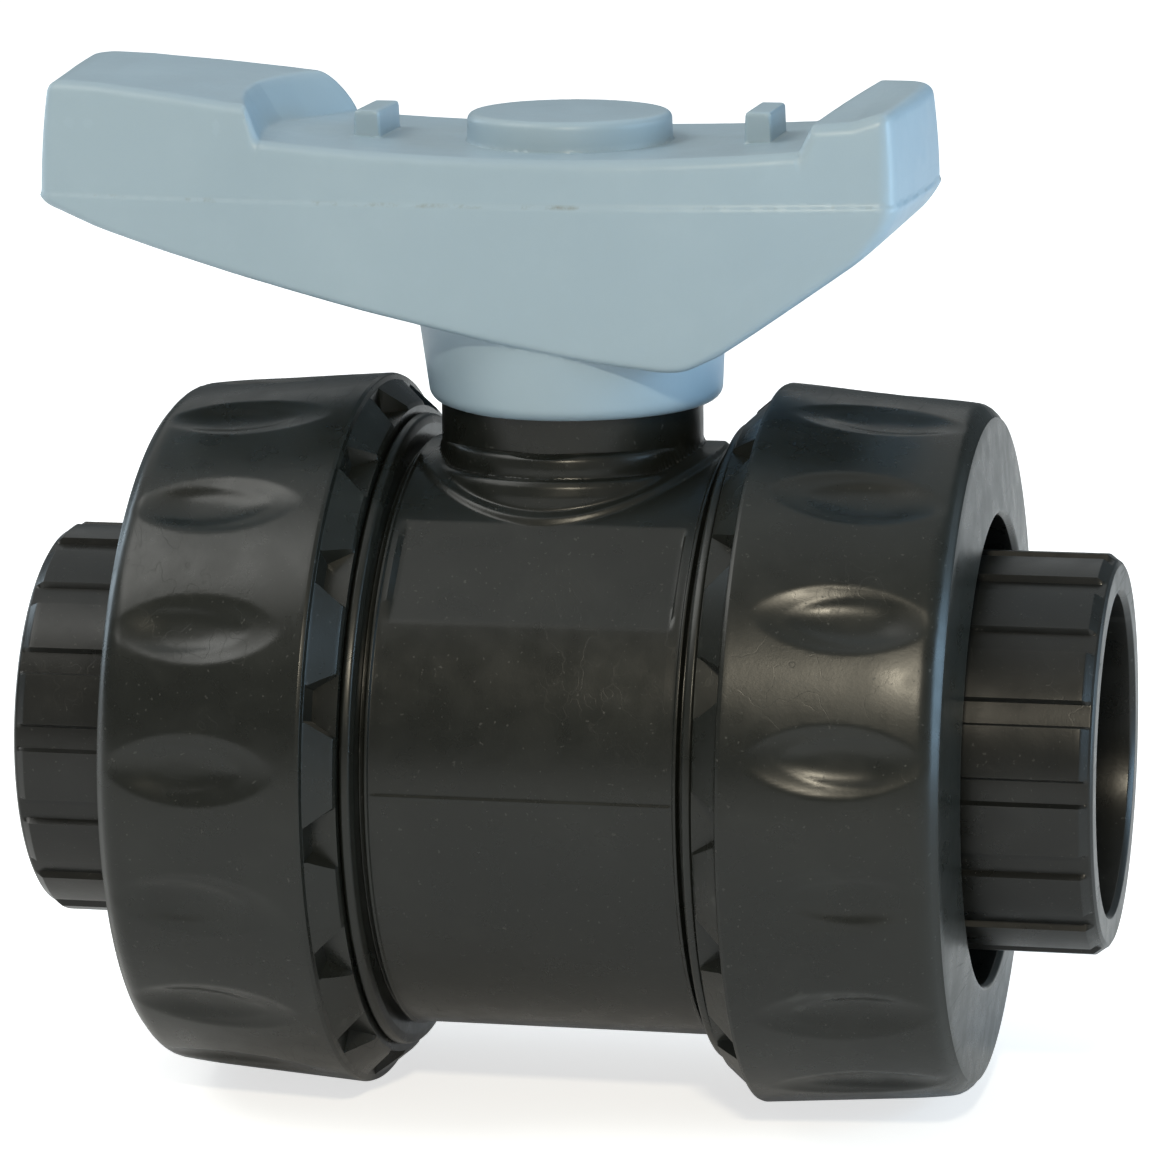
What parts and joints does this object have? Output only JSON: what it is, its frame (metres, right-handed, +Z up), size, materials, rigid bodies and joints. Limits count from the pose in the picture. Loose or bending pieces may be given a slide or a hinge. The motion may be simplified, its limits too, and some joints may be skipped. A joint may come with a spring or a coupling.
{
  "type": "union ball valve",
  "caption": "Plastic two-port ball valve with union nuts, solvent socket ends, adjustable seat carrier and a quarter-turn handle with unequal wings.",
  "frame": {"origin": "centre of the ball, where the pipe axis and the stem axis cross", "axes": "+X along the pipe towards the adjustable seat side, +Z up the stem towards the handle, -Y is the front"},
  "size_m": [0.1092, 0.0728, 0.1034],
  "materials": {
    "body_plastic": "satin dark grey rigid PVC",
    "ball_plastic": "polished dark grey rigid PVC",
    "handle_plastic": "light blue moulded plastic, soft sheen",
    "seat_plastic": "white PTFE",
    "seal_rubber": "black EPDM"
  },
  "bodies": {
    "body": {"valve_body": "body_plastic", "seat_left": "seat_plastic", "seat_backing_ring_left": "seal_rubber", "end_o_ring_left": "seal_rubber"},
    "ball": {"ball": "ball_plastic"},
    "stem": {"stem": "ball_plastic", "stem_thrust_washer": "seat_plastic", "stem_o_ring_lower": "seal_rubber", "stem_o_ring_upper": "seal_rubber"},
    "handle": {"handle": "handle_plastic"},
    "carrier": {"seat_carrier": "body_plastic", "seat_carrier_o_ring": "seal_rubber", "seat_right": "seat_plastic", "seat_backing_ring_right": "seal_rubber", "end_o_ring_right": "seal_rubber"},
    "connector_left": {"end_connector_left": "body_plastic"},
    "connector_right": {"end_connector_right": "body_plastic"},
    "nut_left": {"union_nut_left": "body_plastic"},
    "nut_right": {"union_nut_right": "body_plastic"}
  },
  "joints": [
    {"name": "stem_turn", "type": "hinge", "parent": "body", "child": "stem", "pos_m": [0, 0, 0.03], "axis": [0, 0, -1], "range_deg": [0, 90]},
    {"name": "ball_turn", "type": "hinge", "parent": "body", "child": "ball", "pos_m": [0, 0, 0], "axis": [0, 0, -1], "range_deg": [0, 90]},
    {"name": "handle_lift", "type": "slide", "parent": "stem", "child": "handle", "axis": [0, 0, 1], "range_m": [0, 0.024]},
    {"name": "carrier_turn", "type": "hinge", "parent": "body", "child": "carrier", "pos_m": [0.024, 0, 0], "axis": [-1, 0, 0], "range_deg": [-45, 45]},
    {"name": "connector_left_slide", "type": "slide", "parent": "body", "child": "connector_left", "axis": [-1, 0, 0], "range_m": [0, 0.0125]},
    {"name": "connector_right_slide", "type": "slide", "parent": "body", "child": "connector_right", "axis": [1, 0, 0], "range_m": [0, 0.0125]},
    {"name": "nut_left_turn", "type": "hinge", "parent": "connector_left", "child": "nut_left", "pos_m": [-0.03, 0, 0], "axis": [-1, 0, 0], "range_deg": [0, 1440]},
    {"name": "nut_right_turn", "type": "hinge", "parent": "connector_right", "child": "nut_right", "pos_m": [0.0314, 0, 0], "axis": [1, 0, 0], "range_deg": [0, 1440]}
  ],
  "couplings": [
    {"joint": "ball_turn", "follows": "stem_turn", "ratio": 1},
    {"joint": "connector_left_slide", "follows": "nut_left_turn", "m_per_rad": 0.00043768},
    {"joint": "connector_right_slide", "follows": "nut_right_turn", "m_per_rad": 0.00043768}
  ]
}
